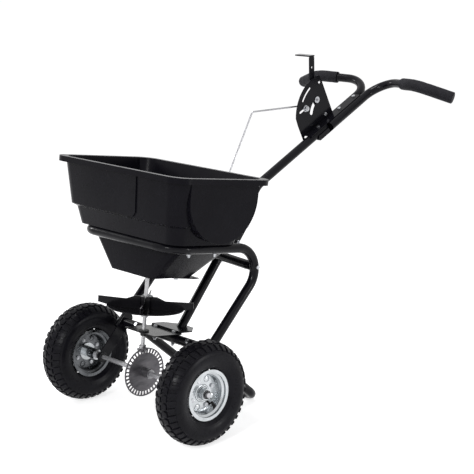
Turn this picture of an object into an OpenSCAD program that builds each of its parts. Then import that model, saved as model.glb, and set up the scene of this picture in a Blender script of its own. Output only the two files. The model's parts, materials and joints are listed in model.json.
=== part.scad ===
// Walk-behind garden spreader: a moulded hopper on a bent-tube frame, an axle whose slotted gear
// disc turns an upright impeller shaft, and a two-handed tube handle with a quadrant and control lever.
// +X is the right side of the machine as it is pushed towards -Y, and +Z is up. The origin is on the
// ground, in the middle of the whole machine.

/* [Wheels] */
// Outside diameter of the tyres
tyre_d = 260; // [230:1:280]
// Width of the tyres
tyre_w = 80; // [70:1:88]
// Rubber thickness of the tyre carcass
tyre_wall = 6; // [4:0.5:8]
// Distance between the wheels' centre planes
track = 459; // [450:1:480]
// Diameter over the rim flanges
rim_d = 127.4; // [120:0.2:132]
// Width over the rim flanges
rim_w = 55.4; // [50:0.2:60]
// Thickness of the rim's pressed sheet
rim_t = 2; // [1.5:0.1:2.4]
// Outside diameter of the hub tubes
hub_d = 28; // [24:0.5:32]
// How far the hub reaches out from the wheel's centre plane
hub_out = 20; // [16:0.5:22]
// How far the hub reaches in from the wheel's centre plane
hub_in = 46; // [40:0.5:50]
// Number of bolts that hold the rim halves together
rim_bolts = 4; // [3:1:6]
// Radius of the circle of rim bolts
rim_bolt_r = 34; // [28:0.5:38]

/* [Axle and gear] */
// Diameter of the axle
axle_d = 12; // [10:0.5:14]
// Outside diameter of the slotted gear disc
gear_d = 126; // [120:0.5:132]
// Thickness of the gear disc
gear_t = 3; // [2:0.1:4]
// Offset of the gear disc's middle from the impeller shaft's axis
gear_x = 13; // [12.6:0.1:13.4]
// Number of slots in the gear disc
gear_slots = 36; // [36:1:36]
// Width of each slot
slot_w = 6; // [5.6:0.1:6.2]
// Radius at which the slots start
slot_in = 50; // [48:0.5:51]
// Radius at which the slots end
slot_out = 60; // [59.5:0.1:61]
// Length of the gear's hub on the axle
gear_hub_l = 24; // [18:1:30]
// Diameter of the gear's hub
gear_hub_d = 24; // [20:0.5:28]
// Number of teeth on the pinion
pinion_teeth = 8; // [8:1:8]
// Radius over the pinion's teeth
pinion_r = 14.2; // [13.8:0.1:14.4]
// Height of the pinion's middle above the axle, along the shaft
pinion_h = 55; // [54:0.5:56]

/* [Impeller] */
// Lean of the impeller shaft, towards the rear at the top
shaft_lean = 6; // [4:0.5:8]
// Diameter of the impeller shaft
shaft_d = 10; // [8:0.5:11]
// Height of the shaft's top above the axle, along the shaft
shaft_top = 292; // [285:1:300]
// Height of the impeller's dish above the axle, along the shaft
impeller_h = 158; // [150:1:165]
// Radius of the impeller's dish
dish_r = 98; // [90:1:104]
// Radius over the impeller's fins
fin_r = 121; // [112:1:124]
// Number of fins
fins = 4; // [3:1:6]
// Thickness of the dish and the fins
impeller_t = 2.5; // [2:0.1:3.5]
// Diameter of the impeller's hub
impeller_hub_d = 28; // [24:1:32]

/* [Hopper] */
// Length of the hopper's rim, from side to side
rim_x = 488.8; // [470:1:500]
// Depth of the hopper's rim, from front to back
rim_y = 316.4; // [300:1:330]
// Height of the rim's skirt
lip_h = 14; // [10:1:18]
// Thickness of the moulding
hopper_wall = 3.5; // [3:0.1:4.5]
// Distance of the rim's middle behind the axle
hopper_y = 78.2; // [70:1:86]
// Height of the rim's middle above the ground
hopper_z = 645.8; // [644:0.2:648]
// Forward lean of the hopper, down at the back
hopper_lean = 7.9; // [7.5:0.1:8.2]
// Depth of the hopper from rim to floor
hopper_h = 267; // [264:0.5:270]
// Depth from the rim to the shoulder where the wall steps in
shoulder_h = 118; // [112:0.5:124]
// Depth from the rim to the ledge that sits on the frame
ledge_h = 167; // [165:0.2:169]
// Overhang of the rim beyond the wall
lip_out = 12.4; // [9:0.2:14]
// How much the upper wall narrows from the rim to the shoulder
upper_in = 18; // [12:0.5:20]
// Width of the step at the shoulder, and of the taper below it
shoulder_in = 11; // [8:0.5:13]
// Half width of the floor
floor_x = 84; // [82:0.5:88]
// Distance of the floor's front edge from the hopper's middle
floor_front = 74; // [72:0.5:75]
// Distance of the floor's back edge from the hopper's middle
floor_back = 64; // [63:0.5:70]
// Radius of the half-round panel on each side
panel_r = 110; // [100:1:112]
// Diameter of the outlets in the floor
outlet_d = 32; // [24:1:34]
// Distance from the shaft to each outlet
outlet_x = 45; // [42:0.5:46]

/* [Frame] */
// Outside diameter of all the tubes
tube_d = 24; // [22:0.5:25]
// Wall thickness of the tubes
tube_wall = 1.5; // [1.2:0.1:2.5]
// Distance from each wheel's centre plane in to the middle of the side tube
leg_gap = 57; // [54:0.5:59]
// Slope of the side tubes between the axle and the rear bend
leg_slope = 45.3; // [45:0.1:45.6]
// Radius of the rear bends
rear_bend = 62; // [58:0.5:64]
// How far the rear crossbar bows back to the post at its middle
bar_bow = 17; // [14:0.5:20]
// Radius of the front corners
front_bend = 55; // [50:1:58]
// Distance of the front run ahead of the hopper's middle
front_run = 98; // [96:0.5:104]
// Distance of the side tubes' lower ends from the axle
leg_end = 90; // [86:0.5:94]
// Distance of the lower crossbar from the axle, along the side tubes
lower_bar = 110; // [106:0.5:114]
// Thickness of the axle brackets
bracket_t = 3; // [2.5:0.1:4]
// Distance from the middle to each leg of the stand
stand_x = 101; // [90:1:106]
// Distance of the stand's foot behind the axle
stand_y = 308; // [300:1:314]
// Radius of the stand's corners
stand_bend = 34; // [30:1:40]
// Thickness of the bearing bracket
plate_t = 3; // [2.5:0.1:3.5]

/* [Handle] */
// Slope of the lower post
post_slope = 50.8; // [50.4:0.1:51.2]
// Length of the post from the rear crossbar up to its bend
post_l = 228.5; // [224:0.5:232]
// Slope of the handle above the bend
handle_slope = 26.85; // [26:0.1:28]
// Distance from the bend to the upper end of the post
post_end = 292; // [288:0.5:296]
// Distance between the two handle tubes' middles
handle_gap = 30.4; // [30.4:0.1:31.4]
// Distance from the bend to the corner where the handle tubes turn outward
handle_turn = 535; // [530:1:540]
// Outside diameter of the foam grips
grip_d = 33; // [30:0.5:35]
// Distance from the middle to the inner end of each grip
grip_x = 122; // [114:1:126]
// Distance from the middle to the outer end of each grip
grip_end = 279; // [272:1:284]

/* [Control] */
// Thickness of the quadrant plate
quadrant_t = 2; // [1.5:0.1:2.4]
// Distance of the quadrant's pivot from the bend, along the handle
pivot_s = 316; // [314:0.5:318]
// Height of the quadrant's pivot above the handle's middle line
pivot_n = 25; // [24:0.5:26]
// Radius from the pivot to the rod's pin
pin_r = 54; // [53:0.2:55]
// Width of the control lever
lever_w = 18; // [16:0.5:20]
// Thickness of the control lever
lever_t = 4; // [3:0.1:4.4]
// Diameter of the control rod
rod_d = 5; // [4:0.1:5.4]
// Thickness of the sliding gate
gate_t = 2.5; // [2:0.1:3]
// Turn of the lever from shut to open, in degrees
lever_travel = 30; // [26:0.5:30]

/* [Fits] */
// Radial clearance of a running fit
run_fit = 0.05; // [0.02:0.01:0.09]
// Radial clearance round a bolt
bolt_fit = 0.3; // [0.15:0.05:0.45]
// Gap between pieces that move past each other
move_gap = 0.5; // [0.3:0.1:0.8]
// Diameter of the bolts
bolt_d = 6; // [5:0.5:6.4]

/* [Hidden] */
$fn = 64;

// Colours
black_paint = "#1c1c1e";
zinc = "#c3c6c9";
rubber = "#222224";
moulding = "#242527";

// Small sizes that several pieces share
eps = 0.01;
seam_l = 0.4;
seam_r = 0.02;
seat_gap = 0.1;
bolt_hole = bolt_d / 2 + bolt_fit;
head_r = bolt_d * 0.92;
head_h = bolt_d * 0.66;
tube_r = tube_d / 2;
tube_bore = tube_r - tube_wall;
axle_r = axle_d / 2;
shaft_r = shaft_d / 2;
wheel_x = track / 2;
axle_z = tyre_d / 2;
side_x = track / 2 - leg_gap;

// ---- vectors and bent tubes -------------------------------------------------------------------

function unit(v) = v / norm(v);
function turn_angle(a, b, c) = acos(unit(b - a) * unit(c - b));
function setback(a, b, c, bend) = bend * tan(turn_angle(a, b, c) / 2);
function slope_dir(angle) = [0, cos(angle), sin(angle)];

// Turns +Z to the direction v
module aim(v) rotate([0, acos(v[2] / norm(v)), atan2(v[1], v[0])]) children();

// A straight tube between two points; bore is its inner radius, and 0 makes a rod
module straight(a, b, r, bore) {
    length = norm(b - a);
    translate(a) aim(b - a) difference() {
        cylinder(h = length, r = r);
        if (bore > 0) translate([0, 0, -1]) cylinder(h = length + 2, r = bore);
    }
}

// The bend of a tube at corner b, between the runs a-b and b-c
module elbow(a, b, c, bend, r, bore) {
    into = unit(b - a);
    out = unit(c - b);
    start = b - into * setback(a, b, c, bend);
    inward = unit(out - into * (into * out));
    centre = start + inward * bend;
    x = -inward;
    z = cross(x, into);
    multmatrix([
        [x[0], into[0], z[0], centre[0]],
        [x[1], into[1], z[1], centre[1]],
        [x[2], into[2], z[2], centre[2]],
        [0, 0, 0, 1]
    ])
        rotate_extrude(angle = turn_angle(a, b, c)) translate([bend, 0]) difference() {
            circle(r = r);
            if (bore > 0) circle(r = bore);
        }
}

// A hair-wide seam at point p that joins two pieces of a tube running along v
module seam(p, v, r, bore) {
    half = min(seam_l, r / 25);
    straight(p - half * v, p + half * v, r + seam_r, bore > 0 ? bore - seam_r : 0);
}

// A tube along corner points p, with one bend radius for each inner corner
module bent_tube(p, bends, r, bore) {
    last = len(p) - 1;
    for (i = [0 : last - 1]) {
        into = unit(p[i + 1] - p[i]);
        from = i == 0 ? p[0] : p[i] + into * setback(p[i - 1], p[i], p[i + 1], bends[i - 1]);
        to = i == last - 1 ? p[last]
            : p[i + 1] - into * setback(p[i], p[i + 1], p[i + 2], bends[i]);
        straight(from, to, r, bore);
        if (i > 0) seam(from, into, r, bore);
        if (i < last - 1) seam(to, into, r, bore);
    }
    for (i = [1 : last - 1]) elbow(p[i - 1], p[i], p[i + 1], bends[i - 1], r, bore);
}

// A rod that runs along X between two places
module bar_x(x0, x1, r) translate([x0, 0, 0]) rotate([0, 90, 0]) cylinder(h = x1 - x0, r = r);

// A hexagon of the given half width across its corners, from z = 0 up
module hex(h, r = head_r) cylinder(h = h, r = r, $fn = 6);

// A bolt down -Z from the underside of its head at z = 0, with a nut on the far end of the grip
module bolt(grip, tail = 4) {
    hex(head_h);
    translate([0, 0, -grip - head_h - tail]) cylinder(h = grip + head_h + tail + eps, r = bolt_d / 2);
    translate([0, 0, -grip - head_h]) hex(head_h);
}

// A flat bar with round ends between two points of a plane
module bar_2d(a, b, width) {
    translate(a) circle(d = width);
    translate(b) circle(d = width);
    translate(a) rotate(atan2(b[1] - a[1], b[0] - a[0]))
        translate([0, seam_r - width / 2]) square([norm(b - a), width - 2 * seam_r]);
}

// A band of a ring between two angles, with round ends
module arc_slot_2d(r, width, a0, a1) {
    for (a = [a0, a1]) rotate(a) translate([r, 0]) circle(d = width);
    difference() {
        intersection() {
            circle(r = r + width / 2 - seam_r);
            polygon(concat([[0, 0]], [for (a = [0 : 4]) 2 * r * [
                cos(a0 + (a1 - a0) * a / 4), sin(a0 + (a1 - a0) * a / 4)]]));
        }
        circle(r = r - width / 2 + seam_r);
    }
}

// ---- frames of reference ----------------------------------------------------------------------

// Handle corners, in the handle's own frame: right side, along the handle, and up from it
grip_drop = -13;
grip_corner = [186, handle_turn - 45, 31];
grip_tip = [grip_end, handle_turn - 22, grip_drop];
handle_start = [handle_gap / 2, post_end + 4, 0];
handle_corner = [handle_gap / 2, handle_turn, 0];
handle_path = [handle_start, handle_corner, grip_corner, grip_tip];
handle_bends = [62, 76];

// The frame's top run is level with the hopper's rim, under the ledge
run_w = -ledge_h - seat_gap - tube_r;
run_slope = slope_dir(-hopper_lean);
up_hopper = [0, sin(hopper_lean), cos(hopper_lean)];
rim_centre = [0, hopper_y, hopper_z];
run_point = rim_centre + run_w * up_hopper;
leg_dir = slope_dir(leg_slope);
axle_point = [0, 0, axle_z];

// Where the line of a side tube meets the line of the top run, in the side tube's plane
function meet(p, d, q, e) = p + d * (cross(q - p, e)[0] / cross(d, e)[0]);
rear_corner = meet(axle_point, leg_dir, run_point, run_slope);
front_corner = run_point - front_run * run_slope;
leg_start = axle_point + leg_end * leg_dir;
bend_setback = rear_bend * tan((180 - leg_slope - hopper_lean) / 2);
bend_centre = rear_corner - bend_setback * leg_dir + rear_bend * [0, -leg_dir[2], leg_dir[1]];

// The rear crossbar joins the bends, and the post leans on it
bar_angle = 5;
rear_bar = bend_centre + rear_bend * slope_dir(bar_angle);
rear_bow = rear_bar + [0, bar_bow, 0];
low_bar = axle_point + lower_bar * leg_dir;
post_dir = slope_dir(post_slope);
post_back = [0, post_dir[2], -post_dir[1]];
post_point = rear_bow + (tube_d + seat_gap) * post_back;
bend_point = post_point + post_l * post_dir;
handle_dir = slope_dir(handle_slope);
handle_up = [0, -handle_dir[2], handle_dir[1]];
function in_world(p) = bend_point + [p[0], 0, 0] + p[1] * handle_dir + p[2] * handle_up;

// The machine reaches from the front of the tyres to the ends of the grips
reach = in_world(grip_tip)[1] + grip_d / 2;
axle_y = -(reach - tyre_d / 2) / 2;

module at_axle() translate([0, axle_y, axle_z]) children();
module on_ground() translate([0, axle_y, 0]) children();
module on_shaft() at_axle() rotate([-shaft_lean, 0, 0]) children();
module in_hopper() on_ground() translate(rim_centre) rotate([-hopper_lean, 0, 0]) children();
module on_post() on_ground() translate(post_point) rotate([post_slope - 90, 0, 0]) children();
module on_handle() on_ground() translate(bend_point) rotate([handle_slope, 0, 0]) children();

// The quadrant's plane, seen from the right: its X is along the handle and its Y is up from it
module on_quadrant(x) on_handle() translate([x, 0, 0]) rotate([90, 0, 90]) children();

// ---- hopper -----------------------------------------------------------------------------------

rim_corner = 42;
wall_x = rim_x / 2 - lip_out;
wall_y = rim_y / 2 - lip_out;
cone_x = side_x - tube_r - move_gap;
cone_front = 76;
cone_back = wall_y - upper_in - 2 * shoulder_in - 2;
knee_h = ledge_h + tube_d;
step_h = 6;
panel_v = 7;
panel_h = 47;
panel_x = wall_x - 1;
pad_t = 3;
hopper_bolt_v = [-39, 45];

// Rings down the hopper: height, half width, front, back and corner radius. The inside has the same
// rings, set in by the wall and raised where the outside is level or sloped
function hopper_rings(t) = [
    [t > 0 ? 1 : 0, wall_x - t, -wall_y + t, wall_y - t, 40],
    [-shoulder_h + t / 2, wall_x - upper_in - t, -wall_y + upper_in + t, wall_y - upper_in - t, 38],
    for (level = [[shoulder_h + step_h - t / 2, 1], [ledge_h - t, 2]])
        let (narrow = upper_in + shoulder_in * level[1] + t)
        [-level[0], wall_x - narrow, narrow - wall_y, wall_y - narrow, 36],
    [-ledge_h + t + eps, cone_x - t, -cone_front + t, cone_back - t, 30],
    [-knee_h + t / 2, cone_x - t, -cone_front + t, cone_back - t, 30],
    [-hopper_h + t, floor_x - t, -floor_front + t, floor_back - t, 20]
];

function ring_points(ring) = [
    for (corner = [[1, 1, 0], [-1, 1, 90], [-1, -1, 180], [1, -1, 270]], step = [0 : 6])
        let (angle = corner[2] + step * 15, r = ring[4])
        [corner[0] * (ring[1] - r) + r * cos(angle),
            (corner[1] > 0 ? ring[3] - r : ring[2] + r) + r * sin(angle), ring[0]]
];

// A closed solid through a stack of rings, from the top down
module loft(rings) {
    n = 28;
    polyhedron(
        points = [for (ring = rings) each ring_points(ring)],
        faces = concat(
            [[for (i = [n - 1 : -1 : 0]) i]],
            [for (k = [0 : len(rings) - 2], i = [0 : n - 1])
                [k * n + i, k * n + (i + 1) % n, (k + 1) * n + (i + 1) % n, (k + 1) * n + i]],
            [[for (i = [0 : n - 1]) (len(rings) - 1) * n + i]]
        )
    );
}

// A rectangle with round corners, from its middle
module rounded_2d(x, y, r) {
    square([x, y - 2 * r], center = true);
    square([x - 2 * r, y], center = true);
    for (i = [-1, 1], j = [-1, 1]) translate([i * (x / 2 - r), j * (y / 2 - r)]) circle(r = r);
}

// The half-round panels of both sides, as one bar across the hopper
module side_panels(inset) {
    r = panel_r - inset;
    x = panel_x - inset;
    translate([-x, panel_v - r, -panel_h]) cube([2 * x, 2 * r, panel_h - hopper_wall]);
    intersection() {
        translate([-x, panel_v, -panel_h]) rotate([0, 90, 0]) cylinder(h = 2 * x, r = r);
        translate([-x, panel_v - r, -panel_h - r]) cube([2 * x, 2 * r, r + eps]);
    }
}

// Where the impeller shaft crosses a level of the hopper: its height along the shaft, and its place
shaft_dir = [0, sin(shaft_lean), cos(shaft_lean)];
function shaft_h(w) = (w + (rim_centre - axle_point) * up_hopper) / (shaft_dir * up_hopper);
function shaft_v(w) = (axle_point + shaft_h(w) * shaft_dir - rim_centre) * run_slope;
floor_h = shaft_h(-hopper_h);
outlet_v = shaft_v(-hopper_h);
boss_r = shaft_r + 3;
gate_bolt = [70, outlet_v + 34];

module hopper() color(moulding) in_hopper() difference() {
    union() {
        loft(hopper_rings(0));
        side_panels(0);
        intersection() {
            loft(hopper_rings(-pad_t));
            rotate([90, 0, 0]) linear_extrude(wall_y * 2) polygon([
                [-78, -lip_h], [78, -lip_h], [70, -104], [60, -shoulder_h + 2],
                [-60, -shoulder_h + 2], [-70, -104]]);
        }
        translate([0, 0, -hopper_wall]) linear_extrude(hopper_wall)
            rounded_2d(rim_x, rim_y, rim_corner);
        translate([0, 0, -lip_h]) linear_extrude(lip_h) difference() {
            rounded_2d(rim_x, rim_y, rim_corner);
            rounded_2d(rim_x - 2 * hopper_wall, rim_y - 2 * hopper_wall, rim_corner - hopper_wall);
        }
    }
    loft(hopper_rings(hopper_wall));
    side_panels(hopper_wall);
    for (side = [-1, 1]) {
        translate([side * outlet_x, outlet_v, -hopper_h - 1]) cylinder(h = 9, r = outlet_d / 2);
        translate([side * gate_bolt[0], gate_bolt[1], -hopper_h - 1]) cylinder(h = 9, r = bolt_hole);
        for (v = hopper_bolt_v)
            translate([side * side_x, v, -ledge_h - 1]) cylinder(h = 9, r = bolt_hole);
    }
    translate([0, outlet_v, -hopper_h - 1]) cylinder(h = 9, r = boss_r + 0.6);
}

// Bolts through the hopper's ledge and the side tubes, with their nuts underneath
module hopper_bolts() color(zinc) in_hopper()
    for (side = [-1, 1], v = hopper_bolt_v) translate([side * side_x, v, -ledge_h + hopper_wall])
        bolt(hopper_wall + seat_gap + tube_d);

// ---- frame ------------------------------------------------------------------------------------

function at_x(x, p) = [x, p[1], p[2]];

module frame_loop() color(black_paint) difference() {
    on_ground() bent_tube([
        at_x(side_x, leg_start), at_x(side_x, rear_corner), at_x(side_x, front_corner),
        at_x(-side_x, front_corner), at_x(-side_x, rear_corner), at_x(-side_x, leg_start)
    ], [rear_bend, front_bend, front_bend, rear_bend], tube_r, tube_bore);
    in_hopper() for (side = [-1, 1], v = hopper_bolt_v)
        translate([side * side_x, v, run_w - tube_d]) cylinder(h = 2 * tube_d, r = bolt_hole);
    on_ground() for (side = [-1, 1], bar = [rear_bar, low_bar])
        translate([side * side_x, bar[1], bar[2]]) bar_x(-tube_d, tube_d, bolt_hole);
}

// The drilled plugs in both ends of a crossbar
plug = 14;
module end_plugs(half) for (side = [-1, 1]) translate([side * (half - plug / 2), 0, 0])
    difference() {
        bar_x(-plug / 2, plug / 2, tube_bore + eps);
        bar_x(-plug, plug, bolt_hole);
    }

rear_bar_half = side_x - tube_r - seat_gap;
low_bar_half = rear_bar_half - bracket_t - seat_gap;
// The middle bend cuts its corner, so the corner stands a little behind the bow
bow_bend = 90;
bow_corner = bar_bow + bow_bend * (1 / cos(atan(bar_bow / (rear_bar_half - plug))) - 1);

module rear_crossbar() color(black_paint) difference() {
    on_ground() translate([0, rear_bar[1], rear_bar[2]]) {
        bent_tube([[rear_bar_half, 0, 0], [rear_bar_half - plug, 0, 0], [0, bow_corner, 0],
            [plug - rear_bar_half, 0, 0], [-rear_bar_half, 0, 0]], [30, bow_bend, 30], tube_r, tube_bore);
        end_plugs(rear_bar_half);
    }
    on_post() rotate([90, 0, 0]) cylinder(h = 2 * tube_d, r = bolt_hole);
}

module lower_crossbar() color(black_paint) on_ground() translate([0, low_bar[1], low_bar[2]]) {
    difference() {
        straight([-low_bar_half, 0, 0], [low_bar_half, 0, 0], tube_r, tube_bore);
        rotate([-hopper_lean, 0, 0]) for (side = [-1, 1])
            translate([side * bracket_bolt_x, 0, -tube_d]) cylinder(h = 2 * tube_d, r = bolt_hole);
        for (side = [-1, 1]) translate([side * stand_x, 0, 0]) aim(stand_dir)
            translate([0, 0, -tube_d]) cylinder(h = 2 * tube_d, r = bolt_hole);
    }
    end_plugs(low_bar_half);
}

// A bolt along X whose head is outside at x, and whose shank ends in a crossbar's plug
module side_bolt(x, length) {
    translate([x, 0, 0]) rotate([0, 90, 0]) hex(head_h);
    bar_x(x - length, x + eps, bolt_d / 2);
}

module frame_bolts() color(zinc) {
    on_ground() for (side = [0, 1], bar = [rear_bar, low_bar]) mirror([side, 0, 0])
        translate([0, bar[1], bar[2]]) side_bolt(side_x + tube_r, tube_d + bracket_t + plug - 2);
    on_post() translate([0, tube_r, 0]) rotate([-90, 0, 0]) bolt(2 * tube_d + 2 * seat_gap);
}

// Plates from the side tubes down to the axle
bush_r = axle_r + 3;
bracket_x = side_x - tube_r - seat_gap - bracket_t;
module axle_brackets() color(black_paint) at_axle() for (side = [0, 1]) mirror([side, 0, 0])
    translate([bracket_x, 0, 0]) rotate([90, 0, 90]) linear_extrude(bracket_t) difference() {
        bar_2d([0, 0], (lower_bar + tube_r) * [leg_dir[1], leg_dir[2]], tube_d + 8);
        circle(r = bush_r + seat_gap);
        translate(lower_bar * [leg_dir[1], leg_dir[2]]) circle(r = bolt_hole);
    }

bush_l = 16;
module axle_bushings() color(moulding) at_axle() for (side = [0, 1]) mirror([side, 0, 0])
    difference() {
        union() {
            bar_x(bracket_x - 2, bracket_x, bush_r + 4);
            bar_x(bracket_x - eps, bracket_x + bush_l, bush_r);
        }
        bar_x(bracket_x - 3, bracket_x + bush_l + 1, axle_r + run_fit);
    }

// The stand's legs run from the lower crossbar to a foot that lies on the ground
stand_foot = [0, stand_y, tube_r];
stand_dir = unit(stand_foot - low_bar);
module rear_stand() color(black_paint) on_ground() difference() {
    union() {
        bent_tube([at_x(stand_x, low_bar), at_x(stand_x, stand_foot),
            at_x(-stand_x, stand_foot), at_x(-stand_x, low_bar)],
            [stand_bend, stand_bend], tube_r, tube_bore);
        for (side = [-1, 1]) translate(at_x(side * stand_x, low_bar)) aim(stand_dir)
            cylinder(h = tube_r + plug, r = tube_bore + eps);
    }
    translate([0, low_bar[1], low_bar[2]])
        bar_x(-stand_x - tube_d, stand_x + tube_d, tube_r + seat_gap);
    for (side = [-1, 1]) translate(at_x(side * stand_x, low_bar)) aim(stand_dir)
        cylinder(h = tube_d + plug, r = bolt_hole);
}

module stand_bolts() color(zinc) on_ground() for (side = [-1, 1])
    translate(at_x(side * stand_x, low_bar)) aim(-stand_dir) {
        translate([0, 0, tube_r]) hex(head_h);
        translate([0, 0, -tube_r - plug]) cylinder(h = tube_d + plug + eps, r = bolt_d / 2);
    }

// The bearing bracket lies on the lower crossbar, square to the hopper's axis
bar_v = (low_bar - rim_centre) * run_slope;
bar_w = (low_bar - rim_centre) * up_hopper;
plate_w = bar_w + tube_r + seat_gap;
joggle = 5;
bracket_half = 58;
bracket_reach = 84;
bracket_bolt_x = 36;
step_v = bar_v + 8;
post_foot = meet(post_point, post_dir, rim_centre + (plate_w + joggle + plate_t) * up_hopper, run_slope);
foot_v = (post_foot - rim_centre) * run_slope;
module bearing_bracket() color(black_paint) in_hopper() translate([0, 0, plate_w]) difference() {
    union() {
        translate([-bracket_half, bar_v - bracket_reach, 0])
            cube([2 * bracket_half, step_v - bar_v + bracket_reach, plate_t]);
        translate([-bracket_half, step_v - plate_t, 0])
            cube([2 * bracket_half, plate_t, joggle + plate_t]);
        translate([0, 0, joggle]) linear_extrude(plate_t) polygon([
            [-bracket_half, step_v - plate_t], [bracket_half, step_v - plate_t],
            [bracket_half, foot_v - 14], [tube_d, foot_v + 20],
            [-tube_d, foot_v + 20], [-bracket_half, foot_v - 14]]);
    }
    translate([0, shaft_v(plate_w), -1]) cylinder(h = plate_t + 2, r = lower_bush_r + 0.5);
    for (side = [-1, 1]) translate([side * bracket_bolt_x, bar_v, -1])
        cylinder(h = plate_t + 2, r = bolt_hole);
}

module bracket_bolts() color(zinc) in_hopper() for (side = [-1, 1])
    translate([side * bracket_bolt_x, bar_v, plate_w + plate_t]) bolt(plate_t + seat_gap + tube_d);

// Bushings of the impeller shaft, in the bearing bracket and in the hopper's floor
lower_bush_r = shaft_r + 3.5;
module shaft_bush(h, body_r, body_l, flange_r) on_shaft() translate([0, 0, h]) difference() {
    union() {
        translate([0, 0, -body_l]) cylinder(h = body_l + eps, r = body_r);
        cylinder(h = 3, r = flange_r);
    }
    translate([0, 0, -body_l - 1]) cylinder(h = body_l + 5, r = shaft_r + run_fit);
}
module shaft_bushing() color(moulding)
    shaft_bush(shaft_h(plate_w + plate_t) + 0.6, lower_bush_r, 12, lower_bush_r + 5);
module floor_bushing() color(moulding)
    shaft_bush(floor_h + hopper_wall + 0.6, boss_r, hopper_wall + gate_t + 3, boss_r + 5);

// ---- post and handle --------------------------------------------------------------------------

joint_h = 86;
spigot = 40;
module lower_post() color(black_paint) difference() {
    union() {
        on_post() {
            straight([0, 0, -post_l], [0, 0, joint_h], tube_r, tube_bore);
            straight([0, 0, joint_h - 6], [0, 0, joint_h + spigot], tube_bore - bolt_fit,
                tube_bore - bolt_fit - tube_wall);
            straight([0, 0, joint_h - 6], [0, 0, joint_h], tube_bore + eps,
                tube_bore - bolt_fit - tube_wall);
        }
    }
    in_hopper() translate([-tube_d, 0, plate_w + joggle + plate_t - 2 * post_l])
        cube([2 * tube_d, 2 * post_l, 2 * post_l]);
    on_post() rotate([90, 0, 0]) translate([0, 0, -tube_d]) cylinder(h = 2 * tube_d, r = bolt_hole);
}

handle_bolts_s = [post_end - 25, post_end + 71, post_end + 136];
module handle_post() color(black_paint) difference() {
    on_ground() bent_tube([post_point + (joint_h + move_gap) * post_dir, bend_point,
        in_world([0, post_end, 0])], [60], tube_r, tube_bore);
    on_handle() translate([0, handle_bolts_s[0], -tube_d]) cylinder(h = 2 * tube_d, r = bolt_hole);
}

// A bent clamp wraps the post's joint from the front and is bolted behind it
clamp_z = [50, 127];
clamp_t = 2.5;
clamp_bolt_y = tube_r + head_r + 1.5;
clamp_bolt_z = [clamp_z[0] + 14, clamp_z[1] - 14];
module post_clamp() color(black_paint) on_post() translate([0, 0, clamp_z[0]]) difference() {
    union() {
        cylinder(h = clamp_z[1] - clamp_z[0], r = tube_r + seat_gap + clamp_t);
        for (side = [0, 1]) mirror([side, 0, 0]) translate([tube_r + seat_gap, 0, 0])
            cube([clamp_t, clamp_bolt_y + 7, clamp_z[1] - clamp_z[0]]);
    }
    translate([0, 0, -1]) cylinder(h = 2 * post_l, r = tube_r + seat_gap);
    translate([-tube_r - seat_gap, 0, -1]) cube([2 * (tube_r + seat_gap), tube_d * 2, 2 * post_l]);
    for (z = clamp_bolt_z) translate([0, clamp_bolt_y, z - clamp_z[0]])
        bar_x(-tube_d, tube_d, bolt_hole);
}

module clamp_bolts() color(zinc) on_post() for (z = clamp_bolt_z)
    translate([-tube_r - seat_gap - clamp_t, clamp_bolt_y, z]) rotate([0, -90, 0])
        bolt(2 * (tube_r + seat_gap + clamp_t));

module handle_tube() on_handle() bent_tube(handle_path, handle_bends, tube_r, tube_bore);
module handle_tube_right() color(black_paint) handle_tube();
module handle_tube_left() color(black_paint) mirror([1, 0, 0]) handle_tube();

// The grips are foam sleeves with closed ends
grip_run = grip_corner - handle_corner;
grip_start = handle_corner + grip_run * ((grip_x - handle_corner[0]) / grip_run[0]);
grip_way = unit(grip_tip - grip_corner);
module grip() on_handle() {
    bent_tube([grip_start, grip_corner, grip_tip + seat_gap * grip_way], [handle_bends[1]],
        grip_d / 2, tube_r + seat_gap);
    straight(grip_tip + seat_gap * grip_way, grip_tip + 4 * grip_way, grip_d / 2, 0);
}
module grip_right() color(rubber) grip();
module grip_left() color(rubber) mirror([1, 0, 0]) grip();

// The strap under the post and the handle tubes
strap_t = 2.5;
strap_s = [246, 441];
strap_half = 13;
module lower_strap() color(black_paint) on_handle() difference() {
    union() {
        translate([-strap_half - strap_t, strap_s[0], -tube_r - seat_gap - strap_t])
            cube([2 * (strap_half + strap_t), strap_s[1] - strap_s[0], strap_t]);
        for (side = [0, 1]) mirror([side, 0, 0])
            translate([strap_half, strap_s[0], -tube_r - seat_gap - strap_t])
                cube([strap_t, post_end - strap_s[0] - 2, tube_r + strap_t]);
    }
    for (s = handle_bolts_s) translate([0, s, -2 * tube_d]) cylinder(h = 2 * tube_d, r = bolt_hole);
}

module handle_bolts() color(zinc) on_handle() for (s = handle_bolts_s)
    translate([0, s, tube_r + seat_gap + quadrant_t])
        bolt(tube_d + 2 * seat_gap + quadrant_t + strap_t, 3);

// ---- quadrant and control ---------------------------------------------------------------------

pivot = [pivot_s, pivot_n];
quadrant_x = -tube_r - seat_gap - quadrant_t - 0.1;
lever_gap = 4;
lever_x = quadrant_x - lever_gap - lever_t;
pin_angle = 100.7;
function from_pivot(r, angle) = pivot + r * [cos(angle), sin(angle)];
quadrant_r = 114;
stop_at = [pivot_s - 59.4, pivot_n + 54.7];
stop_slide = 22;
slot_margin = 14;

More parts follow.
